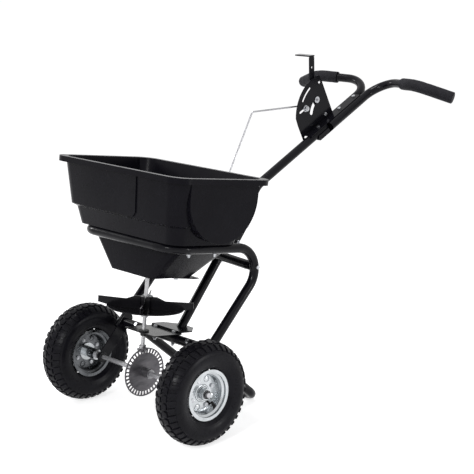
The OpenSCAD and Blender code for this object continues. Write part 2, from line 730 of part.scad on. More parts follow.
module quadrant_plate() color(black_paint) {
    on_quadrant(quadrant_x) linear_extrude(quadrant_t) difference() {
        union() {
            polygon(concat(
                [for (i = [0 : 12]) from_pivot(quadrant_r, 90 + i * 5.4)],
                [[strap_s[0] - 35, 50], [strap_s[0] - 35, 1], [strap_s[0] - 25, 1],
                    [strap_s[0] - 24, tube_r + seat_gap], [pivot_s + 30, tube_r + seat_gap],
                    [pivot_s + 30, pivot_n + 96], [pivot_s + 26, pivot_n + 106]]));
            translate([pivot_s + 18, pivot_n + 102]) circle(r = 11);
        }
        translate(pivot) {
            circle(r = bolt_hole);
            arc_slot_2d(pin_r, 2 * head_r + 1, pin_angle, pin_angle + lever_travel + slot_margin);
            arc_slot_2d(97.5, 6, 102, 127);
            translate([20, 92]) circle(r = 4.5);
        }
        bar_2d(stop_at, stop_at - [stop_slide, 0], bolt_d + 2 * bolt_fit);
        translate([strap_s[0] - 25, 9]) circle(r = 3);
    }
    on_handle() translate([quadrant_x, strap_s[0] - 24, tube_r + seat_gap]) difference() {
        cube([-2 * quadrant_x, strap_s[1] - strap_s[0] + 24, quadrant_t]);
        for (s = handle_bolts_s)
            translate([-quadrant_x, s - strap_s[0] + 24, -1]) cylinder(h = 9, r = bolt_hole);
    }
}

// A bolt along X, with its head towards +X at x and its nut past the grip
module cross_bolt(x, grip) translate([x, 0, 0]) rotate([0, 90, 0]) bolt(grip);

module lever_bolt() color(zinc) on_handle() translate([0, pivot_s, pivot_n]) {
    cross_bolt(quadrant_x + quadrant_t, quadrant_t + lever_gap + lever_t + seat_gap);
    difference() {
        bar_x(quadrant_x - lever_gap + seat_gap, quadrant_x - seat_gap, bolt_d);
        bar_x(lever_x, 0, bolt_hole);
    }
}

// The lever is a cranked strip whose top is bent into a flat thumb pad
lever_corners = [pivot, from_pivot(pin_r, pin_angle), pivot + [4, 110], pivot + [28, 161]];
pad_l = 55;
pad_t_lever = 3.5;
module control_lever() color(black_paint) on_quadrant(lever_x) difference() {
    union() {
        linear_extrude(lever_t)
            for (i = [0 : 2]) bar_2d(lever_corners[i], lever_corners[i + 1], lever_w);
        translate(concat(lever_corners[3], [lever_t - pad_l])) rotate(-24)
            translate([-lever_w / 2 - 1, lever_w / 2 - pad_t_lever, 0])
                cube([lever_w + 2, pad_t_lever, pad_l]);
    }
    for (hole = [concat(pivot, [bolt_d / 2 + run_fit]), concat(lever_corners[1], [rod_r + run_fit]),
        concat(pivot + [18, 139], [3.5])])
        translate([hole[0], hole[1], -1]) cylinder(h = lever_t + 2, r = hole[2]);
}

// The control rod goes from the lever's pin, over the hopper's back edge and down to the gate
rod_r = rod_d / 2;
washer_t = 1.6;
rod_x = lever_x - washer_t - move_gap - rod_r;
function pin_at(angle) = in_world(concat([rod_x], from_pivot(pin_r, angle)));
function hopper_at(v, w) = at_x(rod_x, rim_centre + v * run_slope + w * up_hopper);
rod_lift = 7;
hook_v = 113;
hook_w = -hopper_h + rod_lift;
rod_pin = pin_at(pin_angle);
rod_crank = rod_pin - [0, 20, 14.5];
rod_bend = rod_crank - [0, 213.7, 0];
rod_foot = hopper_at(164, hook_w);
rod_hook = hopper_at(hook_v, hook_w);
rod_end = hopper_at(hook_v, -hopper_h - gate_t - 7);
module control_rod() color(zinc) on_ground() bent_tube([
    at_x(quadrant_x + quadrant_t + 7, rod_pin), rod_pin, rod_crank, rod_bend, rod_foot, rod_hook,
    rod_end], [4, 10, 8, 12, 5], rod_r, 0);

module rod_washers() color(zinc) on_ground() translate([0, rod_pin[1], rod_pin[2]])
    for (x = [rod_x + rod_r + seat_gap, quadrant_x + quadrant_t + move_gap]) difference() {
        bar_x(x, x + washer_t, 9);
        bar_x(x - 1, x + 3, rod_r + move_gap);
    }

// The rod's length fixes how far the gate moves when the lever has turned by an angle
function gate_shift(angle) =
    let (d = pin_at(pin_angle + angle) - rod_hook, along = d * run_slope, l = norm(rod_pin - rod_hook))
    sqrt(along * along - d * d + l * l) - along;
// The gate can slide a little further than the rod takes it
gate_play = 0.8;
gate_travel = gate_shift(lever_travel) + gate_play;

// A thumb nut, washer and stop pin that slide in the quadrant's straight slot
module rate_stop() color(zinc) on_handle() translate([0, stop_at[0], stop_at[1]]) {
    bar_x(lever_x - 1, quadrant_x - seat_gap, 5);
    bar_x(quadrant_x - 1, quadrant_x + quadrant_t + 10, bolt_d / 2);
    difference() {
        union() {
            bar_x(quadrant_x + quadrant_t + seat_gap, quadrant_x + quadrant_t + 1.6, 9);
            bar_x(quadrant_x + quadrant_t + 1.5, quadrant_x + quadrant_t + 8, 7);
        }
        bar_x(quadrant_x, 0, bolt_d / 2 + seat_gap);
    }
}

// The gate slides under the hopper's floor; its holes meet the outlets when it has gone forward
gate_w = -hopper_h - move_gap - gate_t;
module gate_plate() color(black_paint) in_hopper() translate([0, 0, gate_w])
    linear_extrude(gate_t) difference() {
        union() {
            polygon([[-62, outlet_v - 34], [62, outlet_v - 34], [68, outlet_v + 9],
                [95, floor_back - 4], [92, floor_back + 12], [-92, floor_back + 12],
                [-95, floor_back - 4], [-68, outlet_v + 9]]);
            bar_2d([rod_x, floor_back], [rod_x, hook_v], 20);
        }
        for (side = [-1, 1]) {
            translate([side * outlet_x, outlet_v + gate_travel]) circle(r = outlet_d / 2);
            bar_2d([side * gate_bolt[0], gate_bolt[1]],
                [side * gate_bolt[0], gate_bolt[1] + gate_travel], bolt_d + 2 * bolt_fit);
        }
        bar_2d([0, outlet_v], [0, outlet_v + gate_travel], 2 * (boss_r + move_gap));
        translate([rod_x, hook_v]) circle(r = rod_r + 2);
    }

// Shoulder bolts that carry the gate, with their nuts inside the hopper
module gate_bolts() color(zinc) in_hopper() for (side = [-1, 1])
    translate([side * gate_bolt[0], gate_bolt[1], gate_w - move_gap]) rotate([180, 0, 0])
        bolt(gate_t + 2 * move_gap + hopper_wall, 2);

// ---- impeller ---------------------------------------------------------------------------------

hub_top = impeller_h + 35;
module impeller() color(black_paint) on_shaft() difference() {
    union() {
        rotate_extrude() polygon([[0, impeller_h], [60, impeller_h], [dish_r, impeller_h + 6],
            [dish_r, impeller_h + 6 + impeller_t], [60, impeller_h + impeller_t],
            [0, impeller_h + impeller_t]]);
        translate([0, 0, impeller_h - 8]) cylinder(h = hub_top - impeller_h + 8, r = impeller_hub_d / 2);
        for (i = [0 : fins - 1]) rotate(44 + i * 360 / fins) rotate([90, 0, 0])
            translate([0, 0, -impeller_t / 2]) linear_extrude(impeller_t) polygon([
                [8, impeller_h + 1], [60, impeller_h + 1], [dish_r, impeller_h + 7],
                [fin_r, impeller_h + 12], [fin_r, impeller_h + 28], [50, impeller_h + 26],
                [28, hub_top], [8, hub_top]]);
    }
    cylinder(h = 2 * shaft_top, r = shaft_r + run_fit);
}

module impeller_shaft() color(zinc) on_shaft() difference() {
    translate([0, 0, pinion_h - 7]) cylinder(h = shaft_top - pinion_h + 7, r = shaft_r);
    translate([0, 0, hub_top + 3]) bar_x(-tube_d, tube_d, clip_r + seat_gap);
    translate([0, 0, agitator_h]) bar_x(-tube_d, tube_d, agitator_r + seat_gap);
    translate([0, 0, pinion_h + 8]) bar_x(-tube_d, tube_d, pin_d / 2 + seat_gap);
}

pin_d = 3;
pinion_hub_r = gear_x - gear_t / 2 - 2.5;
module pinion() color(zinc) on_shaft() difference() {
    union() {
        translate([0, 0, pinion_h - 6]) cylinder(h = 18, r = pinion_hub_r);
        for (i = [0 : pinion_teeth - 1]) rotate(i * 360 / pinion_teeth)
            translate([shaft_r + 1, -1.6, pinion_h - 2.5]) cube([pinion_r - shaft_r - 1, 3.2, 5]);
    }
    translate([0, 0, pinion_h - 7]) cylinder(h = 20, r = shaft_r + run_fit);
    translate([0, 0, pinion_h + 8]) bar_x(-tube_d, tube_d, pin_d / 2 + seat_gap);
}
module pinion_pin() color(zinc) on_shaft() translate([0, 0, pinion_h + 8])
    bar_x(-pinion_hub_r, pinion_hub_r, pin_d / 2);

// A bent rod through the shaft that stirs the hopper's contents
agitator_r = 2.5;
agitator_h = shaft_top - 10;
module agitator() color(zinc) on_shaft() translate([0, 0, agitator_h])
    bent_tube([[-34, 0, -12], [-34, 0, 0], [34, 0, 0], [34, 0, -12]], [5, 5], agitator_r, 0);

// A spring clip above the impeller's hub
clip_r = 1.25;
module hairpin() color(zinc) on_shaft() translate([0, 0, hub_top + 3])
    bent_tube([[-12, 0, 0], [18, 0, 0], [18, 9, 0], [-10, 9, 0]], [4, 4], clip_r, 0);

module shaft_collar() color(zinc) on_shaft() translate([0, 0, impeller_h - 18]) difference() {
    cylinder(h = 9.8, r = shaft_r + 4);
    translate([0, 0, -1]) cylinder(h = 12, r = shaft_r + run_fit);
}

// ---- axle, gear and wheels --------------------------------------------------------------------

axle_end = wheel_x + hub_out + 7;
gear_hub_x = gear_x + gear_t / 2;
gear_pin_x = gear_hub_x + gear_hub_l - 8;
drive_pin_x = wheel_x - hub_in + 9;
clip_x = wheel_x + hub_out + 4.5;
pin_r_big = 2.5;

module axle() color(zinc) at_axle() difference() {
    bar_x(-axle_end, axle_end, axle_r);
    for (hole = [[gear_pin_x, pin_r_big], [drive_pin_x, pin_r_big], [clip_x, clip_r],
        [-clip_x, clip_r]])
        translate([hole[0], 0, -tube_d]) cylinder(h = 2 * tube_d, r = hole[1] + seat_gap);
}

module drive_gear() color(zinc) on_shaft() translate([gear_x - gear_t / 2, 0, 0])
    rotate([90, 0, 90]) linear_extrude(gear_t) difference() {
        circle(r = gear_d / 2);
        circle(r = axle_r + run_fit);
        for (i = [0 : gear_slots - 1]) rotate(90 + i * 360 / gear_slots)
            translate([slot_in, -slot_w / 2]) square([slot_out - slot_in, slot_w]);
    }

module gear_hub() color(zinc) at_axle() difference() {
    bar_x(gear_hub_x, gear_hub_x + gear_hub_l, gear_hub_d / 2);
    bar_x(0, gear_hub_x + gear_hub_l + 1, axle_r + run_fit);
    translate([gear_pin_x, 0, -tube_d]) cylinder(h = 2 * tube_d, r = pin_r_big + seat_gap);
}
module gear_pin() color(zinc) at_axle() translate([gear_pin_x, 0, -gear_hub_d / 2 - 1])
    cylinder(h = gear_hub_d + 2, r = pin_r_big);

// A wheel on its side of the axle: its own X points outward from its centre plane
module wheel_at(side) at_axle() mirror([side > 0 ? 0 : 1, 0, 0]) translate([wheel_x, 0, 0])
    children();

// Turns a profile of [outward, radius] points round the axle
module spin(profile) rotate([0, 90, 0]) rotate_extrude($fn = 96)
    polygon([for (p = profile) [p[1], p[0]]]);

rim_r = rim_d / 2;
seat_r = rim_r - 6.2;
flange_x = rim_w / 2 - rim_t;
// The tyre is widest halfway from the rim's flanges to the ground
tyre_mid = (tyre_d / 2 + rim_r) / 2;
bead_x = flange_x - 0.3;
bead_angle = 49;
crown_h = tyre_d / 2 - tyre_mid;
side_h = (tyre_mid - rim_r - 1) / sin(bead_angle);

function carcass(a, half, top, bottom) =
    [half * cos(a), tyre_mid + (sin(a) > 0 ? top : bottom) * sin(a)];

module tyre() spin(concat(
    [for (i = [0 : 34]) carcass(-bead_angle + i * (180 + 2 * bead_angle) / 34, tyre_w / 2, crown_h, side_h)],
    [[-bead_x, rim_r + 0.3], [-bead_x, seat_r + 0.4], [-16, seat_r + 0.4]],
    [for (i = [0 : 30]) carcass(238 - i * 296 / 30, tyre_w / 2 - tyre_wall,
        crown_h - tyre_wall, side_h - tyre_wall)],
    [[16, seat_r + 0.4], [bead_x, seat_r + 0.4], [bead_x, rim_r + 0.3]]));
module tyre_right() color(rubber) wheel_at(1) tyre();
module tyre_left() color(rubber) wheel_at(-1) tyre();

// The inner tube is a closed rubber ring with a valve stem through the rim
tube_sec = crown_h - tyre_wall - 1;
valve_x = 11;
valve_at = -50;
valve_r = 3.5;
module inner_tube(wall = 2.5) {
    rotate([0, 90, 0]) rotate_extrude($fn = 96) translate([tyre_mid - 1, 0]) difference() {
        circle(r = tube_sec);
        circle(r = tube_sec - wall);
    }
    rotate([valve_at, 0, 0]) translate([valve_x, tyre_mid - tube_sec + 2, 0]) rotate([90, 0, 0])
        cylinder(h = tyre_mid - tube_sec - 34, r = valve_r);
}
module inner_tube_right() color(rubber) wheel_at(1) inner_tube();
module inner_tube_left() color(rubber) wheel_at(-1) inner_tube();

module rim_half(hub_hole) difference() {
    spin([[0, rim_r - 14], [8, rim_r - 13], [17, rim_r - 11.5], [20, seat_r], [flange_x, seat_r],
        [flange_x, rim_r], [rim_w / 2, rim_r], [rim_w / 2, seat_r - rim_t],
        [20 + rim_t * 0.7, seat_r - rim_t], [17 + rim_t * 0.7, rim_r - 11.5 - rim_t],
        [8, rim_r - 13 - rim_t], [rim_t, rim_r - 18.5], [rim_t, hub_hole], [0, hub_hole]]);
    for (i = [0 : rim_bolts - 1]) rotate([i * 360 / rim_bolts + 20, 0, 0])
        translate([0, rim_bolt_r, 0]) bar_x(-1, rim_t + 1, bolt_hole);
    children();
}
module valve_hole() rotate([valve_at, 0, 0]) translate([valve_x, tyre_mid, 0])
    rotate([90, 0, 0]) cylinder(h = tyre_mid - 30, r = valve_r + 0.5);
hub_hole = hub_d / 2 + seat_gap;
module rim_outer() rim_half(hub_hole) valve_hole();
module rim_inner() mirror([1, 0, 0]) translate([eps, 0, 0]) rim_half(hub_hole);
module rim_outer_right() color(zinc) wheel_at(1) rim_outer();
module rim_inner_right() color(zinc) wheel_at(1) rim_inner();
module rim_outer_left() color(zinc) wheel_at(-1) rim_outer();
module rim_inner_left() color(zinc) wheel_at(-1) rim_inner();

// The hub tube has a flange against the inner rim half
bearing_l = 9;
bearing_r = axle_r + 4.5;
module hub(bore) difference() {
    union() {
        bar_x(-hub_in, hub_out, hub_d / 2);
        bar_x(-rim_t - 3.1, -rim_t - 0.1, hub_d / 2 + 9);
    }
    bar_x(-hub_in - 1, hub_out + 1, bore);
    children();
}
module hub_right() color(zinc) wheel_at(1) hub(axle_r + run_fit)
    translate([drive_pin_x - wheel_x, 0, -tube_d]) cylinder(h = 2 * tube_d, r = pin_r_big + seat_gap);
module hub_left() color(zinc) wheel_at(-1) hub(axle_r + 1) {
    bar_x(-hub_in - 1, -hub_in + bearing_l, bearing_r);
    bar_x(hub_out - bearing_l, hub_out + 1, bearing_r);
}
module drive_pin() color(zinc) at_axle() translate([drive_pin_x, 0, -hub_d / 2 - 1])
    cylinder(h = hub_d + 2, r = pin_r_big);
module wheel_bearings() color(zinc) wheel_at(-1) for (x = [-hub_in, hub_out - bearing_l])
    difference() {
        bar_x(x, x + bearing_l - seat_gap, bearing_r - 0.02);
        bar_x(x - 1, x + bearing_l + 1, axle_r + run_fit);
    }

module rim_bolt_set() for (i = [0 : rim_bolts - 1]) rotate([i * 360 / rim_bolts + 20, 0, 0])
    translate([rim_t, rim_bolt_r, 0]) rotate([0, 90, 0]) bolt(2 * rim_t + eps, 1);
module rim_bolts_right() color(zinc) wheel_at(1) rim_bolt_set();
module rim_bolts_left() color(zinc) wheel_at(-1) rim_bolt_set();

// Sleeves between the bushings and the hubs
module axle_spacers() color(zinc) for (side = [-1, 1]) wheel_at(side) difference() {
    bar_x(bracket_x + bush_l + 0.3 - wheel_x, -hub_in - 0.3, bush_r);
    bar_x(-wheel_x, 0, axle_r + run_fit);
}

// Washers and cross pins that hold the wheels on
module axle_clips() color(zinc) for (side = [-1, 1]) wheel_at(side) {
    difference() {
        bar_x(hub_out + 0.3, hub_out + 0.3 + washer_t, axle_r + 5);
        bar_x(hub_out, hub_out + 3, axle_r + run_fit);
    }
    translate([clip_x - wheel_x, 0, -axle_r - 4]) cylinder(h = tube_r + 8, r = clip_r);
}

hopper();
hopper_bolts();
frame_loop();
rear_crossbar();
lower_crossbar();
frame_bolts();
axle_brackets();
axle_bushings();
rear_stand();
stand_bolts();
bearing_bracket();
bracket_bolts();
shaft_bushing();
floor_bushing();
lower_post();
handle_post();
post_clamp();
clamp_bolts();
handle_tube_right();
handle_tube_left();
grip_right();
grip_left();
lower_strap();
handle_bolts();
quadrant_plate();
lever_bolt();
control_lever();
control_rod();
rod_washers();
rate_stop();
gate_plate();
gate_bolts();
impeller();
impeller_shaft();
pinion();
pinion_pin();
agitator();
hairpin();
shaft_collar();
axle();
drive_gear();
gear_hub();
gear_pin();
tyre_right();
tyre_left();
inner_tube_right();
inner_tube_left();
rim_outer_right();
rim_inner_right();
rim_outer_left();
rim_inner_left();
hub_right();
hub_left();
rim_bolts_right();
rim_bolts_left();
drive_pin();
wheel_bearings();
axle_spacers();
axle_clips();
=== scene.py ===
"""A push spreader for seed and fertiliser: a moulded hopper on a bent tube frame, two air tyres on
one axle, a gear wheel that turns the broadcasting impeller, and a lever that slides the gate."""

import json
import math

import bmesh
import bpy
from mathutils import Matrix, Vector, noise

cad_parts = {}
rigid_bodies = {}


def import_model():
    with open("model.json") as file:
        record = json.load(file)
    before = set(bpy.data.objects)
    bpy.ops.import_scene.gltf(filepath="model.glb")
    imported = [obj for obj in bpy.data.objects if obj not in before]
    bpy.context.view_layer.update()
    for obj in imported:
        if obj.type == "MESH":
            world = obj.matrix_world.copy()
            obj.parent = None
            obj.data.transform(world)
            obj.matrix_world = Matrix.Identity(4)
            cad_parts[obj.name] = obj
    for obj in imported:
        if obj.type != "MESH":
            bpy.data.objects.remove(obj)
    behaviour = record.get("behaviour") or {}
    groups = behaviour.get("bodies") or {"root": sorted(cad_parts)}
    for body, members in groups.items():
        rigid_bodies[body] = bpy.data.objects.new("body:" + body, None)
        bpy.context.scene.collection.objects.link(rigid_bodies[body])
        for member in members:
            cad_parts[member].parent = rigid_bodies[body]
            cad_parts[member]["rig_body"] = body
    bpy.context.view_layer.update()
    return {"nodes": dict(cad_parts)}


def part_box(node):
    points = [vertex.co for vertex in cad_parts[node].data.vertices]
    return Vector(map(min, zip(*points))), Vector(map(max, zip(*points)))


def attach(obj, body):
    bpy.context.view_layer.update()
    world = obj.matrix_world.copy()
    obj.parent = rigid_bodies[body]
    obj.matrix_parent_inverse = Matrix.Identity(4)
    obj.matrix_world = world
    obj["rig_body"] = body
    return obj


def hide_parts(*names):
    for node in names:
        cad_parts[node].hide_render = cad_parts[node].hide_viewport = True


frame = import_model()

# The view: from the front right and a little above the handle, as the machine is shown to a
# buyer. The camera's place is set off from the middle of the axle.
axle_lo, axle_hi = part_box("axle")
axle_at = (axle_lo + axle_hi) / 2
view_data = bpy.data.cameras.new("camera")
view_data.lens = 101.76
view_data.sensor_width = 36
view_data.clip_start = 0.05
view_data.clip_end = 60
camera = bpy.data.objects.new("camera", view_data)
bpy.context.scene.collection.objects.link(camera)
camera.location = (2.53, axle_at.y - 2.0462, 1.2167)
look_at = Vector((0.167, axle_at.y + 0.1774, 0.4784))
camera.rotation_euler = (look_at - camera.location).to_track_quat("-Z", "Y").to_euler()
bpy.context.scene.camera = camera
bpy.context.scene.view_settings.view_transform = "Standard"

# The studio: an even sky that reads white behind the machine and in its gloss, and four soft
# square lamps, one above, one in front and one to each side.


def direct_ray(nodes, links):
    """One for a ray from the camera, through glass or off a gloss, and nought for the rest."""
    path = nodes.new("ShaderNodeLightPath")
    seen = nodes.new("ShaderNodeMath")
    seen.operation = "MAXIMUM"
    links.new(path.outputs["Is Camera Ray"], seen.inputs[0])
    links.new(path.outputs["Is Transmission Ray"], seen.inputs[1])
    shiny = nodes.new("ShaderNodeMath")
    shiny.operation = "MAXIMUM"
    links.new(seen.outputs[0], shiny.inputs[0])
    links.new(path.outputs["Is Glossy Ray"], shiny.inputs[1])
    return shiny.outputs[0]


sky = bpy.data.worlds.new("studio")
bpy.context.scene.world = sky
sky.use_nodes = True
sky_nodes, sky_links = sky.node_tree.nodes, sky.node_tree.links
sky_nodes.clear()
fill_level = 0.36
dim = sky_nodes.new("ShaderNodeBackground")
dim.inputs["Color"].default_value = (1, 1, 1, 1)
dim.inputs["Strength"].default_value = fill_level
white = sky_nodes.new("ShaderNodeBackground")
white.inputs["Color"].default_value = (1, 1, 1, 1)
white.inputs["Strength"].default_value = 1
sky_mix = sky_nodes.new("ShaderNodeMixShader")
sky_links.new(direct_ray(sky_nodes, sky_links), sky_mix.inputs[0])
sky_links.new(dim.outputs[0], sky_mix.inputs[1])
sky_links.new(white.outputs[0], sky_mix.inputs[2])
sky_out = sky_nodes.new("ShaderNodeOutputWorld")
sky_links.new(sky_mix.outputs[0], sky_out.inputs["Surface"])

lamps_aim = Vector((0, 0, 0.4))
for lamp_name, lamp_at, lamp_size, lamp_power in (
    ("lamp_top", (-0.2, -0.3, 2.7), 0.7, 26),
    ("lamp_front", (1.3, -2.9, 1.8), 0.45, 30),
    ("lamp_left", (-2.4, -1.2, 1.5), 0.6, 14),
    ("lamp_right", (2.7, 0.9, 0.6), 0.4, 11),
):
    lamp_data = bpy.data.lights.new(lamp_name, "AREA")
    lamp_data.size = lamp_size
    lamp_data.energy = lamp_power
    lamp = bpy.data.objects.new(lamp_name, lamp_data)
    bpy.context.scene.collection.objects.link(lamp)
    lamp.location = lamp_at
    lamp.rotation_euler = (lamps_aim - lamp.location).to_track_quat("-Z", "Y").to_euler()

# The floor: a wide pale sheet under the machine. It glows just enough to wash out to white and
# keeps the soft shadow.
floor_half = 30
floor_lift = 0.72
sheet = bmesh.new()
bmesh.ops.create_grid(sheet, x_segments=1, y_segments=1, size=floor_half)
floor_mesh = bpy.data.meshes.new("floor")
sheet.to_mesh(floor_mesh)
sheet.free()
floor = bpy.data.objects.new("floor", floor_mesh)
bpy.context.scene.collection.objects.link(floor)
floor_paint = bpy.data.materials.new("floor_paint")
floor_paint.use_nodes = True
floor_nodes, floor_links = floor_paint.node_tree.nodes, floor_paint.node_tree.links
floor_nodes["Principled BSDF"].inputs["Base Color"].default_value = (0.86, 0.86, 0.87, 1)
floor_nodes["Principled BSDF"].inputs["Roughness"].default_value = 0.9
floor_nodes["Principled BSDF"].inputs["Specular IOR Level"].default_value = 0
lift = floor_nodes.new("ShaderNodeEmission")
lift_level = floor_nodes.new("ShaderNodeMath")
lift_level.operation = "MULTIPLY"
lift_level.inputs[1].default_value = floor_lift
floor_links.new(direct_ray(floor_nodes, floor_links), lift_level.inputs[0])
floor_links.new(lift_level.outputs[0], lift.inputs["Strength"])
floor_sum = floor_nodes.new("ShaderNodeAddShader")
floor_links.new(floor_nodes["Principled BSDF"].outputs[0], floor_sum.inputs[0])
floor_links.new(lift.outputs[0], floor_sum.inputs[1])
floor_links.new(floor_sum.outputs[0], floor_nodes["Material Output"].inputs["Surface"])
floor_mesh.materials.append(floor_paint)

# The hopper: one black polypropylene moulding, open at the top, narrowing to a cone over the
# gate. It hangs in the frame tubes and has a satin skin with a fine spark-eroded grain.


cloud_lo, cloud_hi = 0.32, 0.68
rub_lo, rub_hi = 0.3, 0.7
rub_per_cloud = 4.3


def finish(
    name, dark, light, rough, metal=0.0, cloud=9.0, grain=1400.0, depth=0.00003, gloss=0.5,
    pull=(1, 1, 1),
):
    """A finish clouded from dark to light, rubbed from rough[0] to rough[1], with a fine grain."""
    material = bpy.data.materials.new(name)
    material.use_nodes = True
    nodes, links = material.node_tree.nodes, material.node_tree.links
    shader = nodes["Principled BSDF"]
    shader.inputs["Metallic"].default_value = metal
    shader.inputs["Specular IOR Level"].default_value = gloss
    place = nodes.new("ShaderNodeTexCoord")
    turn = nodes.new("ShaderNodeMapping")
    turn.inputs["Scale"].default_value = pull
    links.new(place.outputs["Object"], turn.inputs["Vector"])
    clouds = nodes.new("ShaderNodeTexNoise")
    clouds.inputs["Scale"].default_value = cloud
    clouds.inputs["Detail"].default_value = 8
    clouds.inputs["Roughness"].default_value = 0.6
    links.new(turn.outputs["Vector"], clouds.inputs["Vector"])
    colours = nodes.new("ShaderNodeValToRGB")
    colours.color_ramp.elements[0].position = cloud_lo
    colours.color_ramp.elements[0].color = (*dark, 1)
    colours.color_ramp.elements[1].position = cloud_hi
    colours.color_ramp.elements[1].color = (*light, 1)
    links.new(clouds.outputs["Fac"], colours.inputs["Fac"])
    links.new(colours.outputs["Color"], shader.inputs["Base Color"])
    rub = nodes.new("ShaderNodeTexNoise")
    rub.inputs["Scale"].default_value = cloud * rub_per_cloud
    rub.inputs["Detail"].default_value = 5
    links.new(turn.outputs["Vector"], rub.inputs["Vector"])
    sheen = nodes.new("ShaderNodeMapRange")
    sheen.inputs["From Min"].default_value = rub_lo
    sheen.inputs["From Max"].default_value = rub_hi
    sheen.inputs["To Min"].default_value = rough[0]
    sheen.inputs["To Max"].default_value = rough[1]
    links.new(rub.outputs["Fac"], sheen.inputs["Value"])
    links.new(sheen.outputs["Result"], shader.inputs["Roughness"])
    skin = nodes.new("ShaderNodeTexNoise")
    skin.inputs["Scale"].default_value = grain
    skin.inputs["Detail"].default_value = 3
    links.new(turn.outputs["Vector"], skin.inputs["Vector"])
    relief = nodes.new("ShaderNodeBump")
    relief.inputs["Strength"].default_value = 1
    relief.inputs["Distance"].default_value = depth
    links.new(skin.outputs["Fac"], relief.inputs["Height"])
    links.new(relief.outputs["Normal"], shader.inputs["Normal"])
    return material


def place_piece(name, mesh, material, body, stands_for=()):
    """Puts a finished mesh into the scene, on the body that it moves with."""
    mesh.materials.clear()
    mesh.materials.append(material)
    piece = bpy.data.objects.new(name, mesh)
    bpy.context.scene.collection.objects.link(piece)
    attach(piece, body)
    if stands_for:
        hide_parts(*stands_for)
    return piece


def shade(shape, crisp=32):
    """Smooth faces, with every edge over so many degrees left crisp."""
    for face in shape.faces:
        face.smooth = True
    for edge in shape.edges:
        edge.smooth = edge.calc_face_angle(0) < math.radians(crisp)


weld_gap = 0.000002
flat_within = math.radians(0.3)
rounded_over = math.radians(34)


def dress(node, material, edge=0.0):
    """A copy of a CAD node with its corners joined, its edges rounded and its finish on."""
    source = frame["nodes"][node]
    shape = bmesh.new()
    shape.from_mesh(source.data)
    bmesh.ops.remove_doubles(shape, verts=shape.verts, dist=weld_gap)
    bmesh.ops.dissolve_limit(
        shape, angle_limit=flat_within, verts=shape.verts, edges=shape.edges,
    )
    shade(shape)
    mesh = bpy.data.meshes.new(node + "_dressed")
    shape.to_mesh(mesh)
    shape.free()
    piece = place_piece(node + "_dressed", mesh, material, source["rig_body"], (node,))
    if edge:
        rounding = piece.modifiers.new("edges", "BEVEL")
        rounding.width = edge
        rounding.segments = 2
        rounding.limit_method = "ANGLE"
        rounding.angle_limit = rounded_over
        rounding.harden_normals = True
    return piece


hopper_skin = finish(
    "hopper_skin", (0.0048, 0.0044, 0.0068), (0.0074, 0.007, 0.01), (0.22, 0.3),
    depth=0.000004, gloss=0.06,
)
dress("hopper", hopper_skin, edge=0.0007)

# The frame: 24 mm steel tube, bent cold and dipped in gloss black powder. The loop runs round
# the hopper and down to the axle, two crossbars tie it, and the stand is bent from one length.
paint = finish(
    "black_powder_coat", (0.004, 0.0038, 0.0058), (0.0065, 0.0062, 0.0092), (0.13, 0.21),
    cloud=16, grain=420, depth=0.00003, gloss=0.14,
)
for tube in (
    "frame_loop", "rear_crossbar", "lower_crossbar", "rear_stand", "lower_post", "handle_post",
    "handle_tube_right", "handle_tube_left", "axle_brackets", "bearing_bracket", "post_clamp",
    "lower_strap", "quadrant_plate", "control_lever", "gate_plate",
):
    dress(tube, paint, edge=0.0004)

# Fasteners: zinc plated bolts, nuts, washers and pins, bright with a slightly milky passivation.
# The clips on the axle are oiled spring steel and stay dark.
fastener = finish(
    "zinc_fasteners", (0.36, 0.37, 0.39), (0.55, 0.56, 0.58), (0.22, 0.36), metal=1,
    cloud=60, grain=900, depth=0.00003,
)
for bolts in (
    "hopper_bolts", "frame_bolts", "stand_bolts", "bracket_bolts", "clamp_bolts", "handle_bolts",
    "lever_bolt", "gate_bolts", "rim_bolts_right", "rim_bolts_left", "gear_pin", "drive_pin",
    "pinion_pin", "hairpin", "rod_washers", "rate_stop",
):
    dress(bolts, fastener, edge=0.0002)
clip_steel = finish(
    "oiled_clips", (0.035, 0.035, 0.038), (0.11, 0.11, 0.115), (0.3, 0.45), metal=1,
    cloud=90, grain=900, depth=0.00001,
)
dress("axle_clips", clip_steel, edge=0.0002)

# Bars: the axle, the impeller shaft, the agitator and the control rod are drawn steel bar, left
# bright, with fine draw lines along them. Spacers, collar and bearings are turned from the same.
bright = finish(
    "bright_bar", (0.46, 0.46, 0.48), (0.56, 0.56, 0.58), (0.24, 0.32), metal=0.6,
    cloud=40, grain=700, depth=0.000003, pull=(0.15, 1, 1),
)
for bar in ("axle", "axle_spacers", "wheel_bearings"):
    dress(bar, bright)
upright = finish(
    "bright_shaft", (0.46, 0.46, 0.47), (0.56, 0.56, 0.57), (0.24, 0.32), metal=0.6,
    cloud=40, grain=700, depth=0.000003, pull=(1, 1, 0.12),
)
for bar in ("impeller_shaft", "agitator", "shaft_collar"):
    dress(bar, upright)
rod_steel = finish(
    "rod_steel", (0.34, 0.34, 0.35), (0.46, 0.46, 0.48), (0.26, 0.36), metal=1,
    cloud=50, grain=600, depth=0.000003,
)
dress("control_rod", rod_steel)

# Bushings: black nylon, turned, in the axle plates, under the shaft and in the hopper's floor.
# Each is pressed into its hole and carries a bar.
nylon = finish(
    "nylon", (0.02, 0.02, 0.022), (0.034, 0.034, 0.036), (0.35, 0.5), gloss=0.2,
)
for bush in ("axle_bushings", "shaft_bushing", "floor_bushing"):
    dress(bush, nylon, edge=0.0003)

